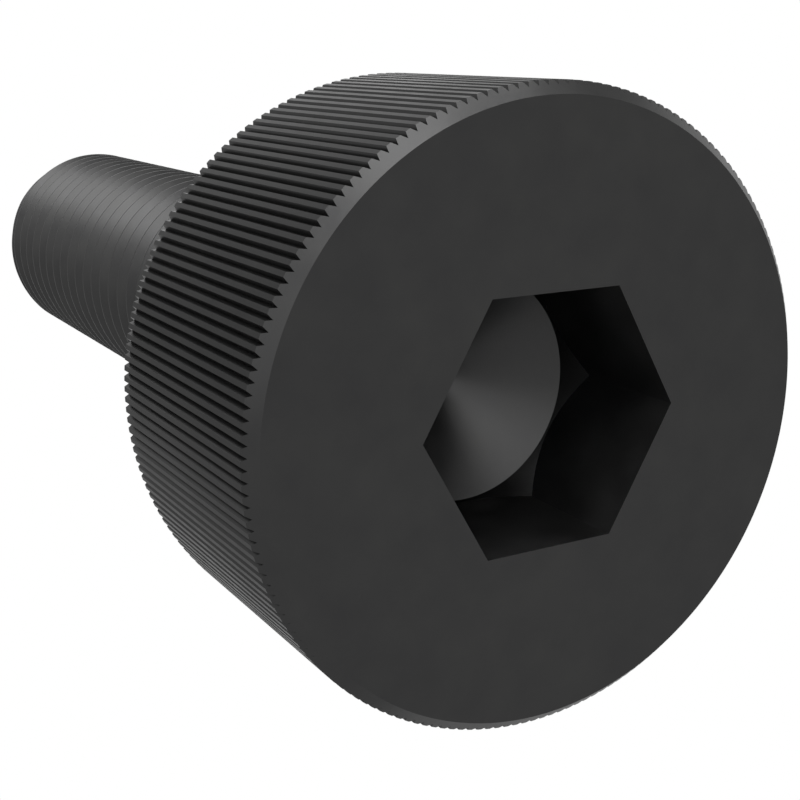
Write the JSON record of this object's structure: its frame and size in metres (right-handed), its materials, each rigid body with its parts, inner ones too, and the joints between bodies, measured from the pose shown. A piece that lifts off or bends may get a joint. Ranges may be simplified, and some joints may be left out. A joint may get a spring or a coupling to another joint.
{
  "type": "socket head cap screw",
  "caption": "Socket head cap screw with a wide, finely knurled cylindrical head, a hexagon socket and a fully threaded round shank with a chamfered tip.",
  "frame": {"origin": "centre of the socket's face, on the axis, where the screw stands on its head", "axes": "+Z along the screw's axis from the socket's face towards the tip, +X through one corner of the hexagon socket"},
  "size_m": [0.0202, 0.0202, 0.0448],
  "materials": {
    "black_oxide_steel": "black oxide, satin"
  },
  "bodies": {
    "root": {"cap_screw": "black_oxide_steel"}
  },
  "joints": []
}
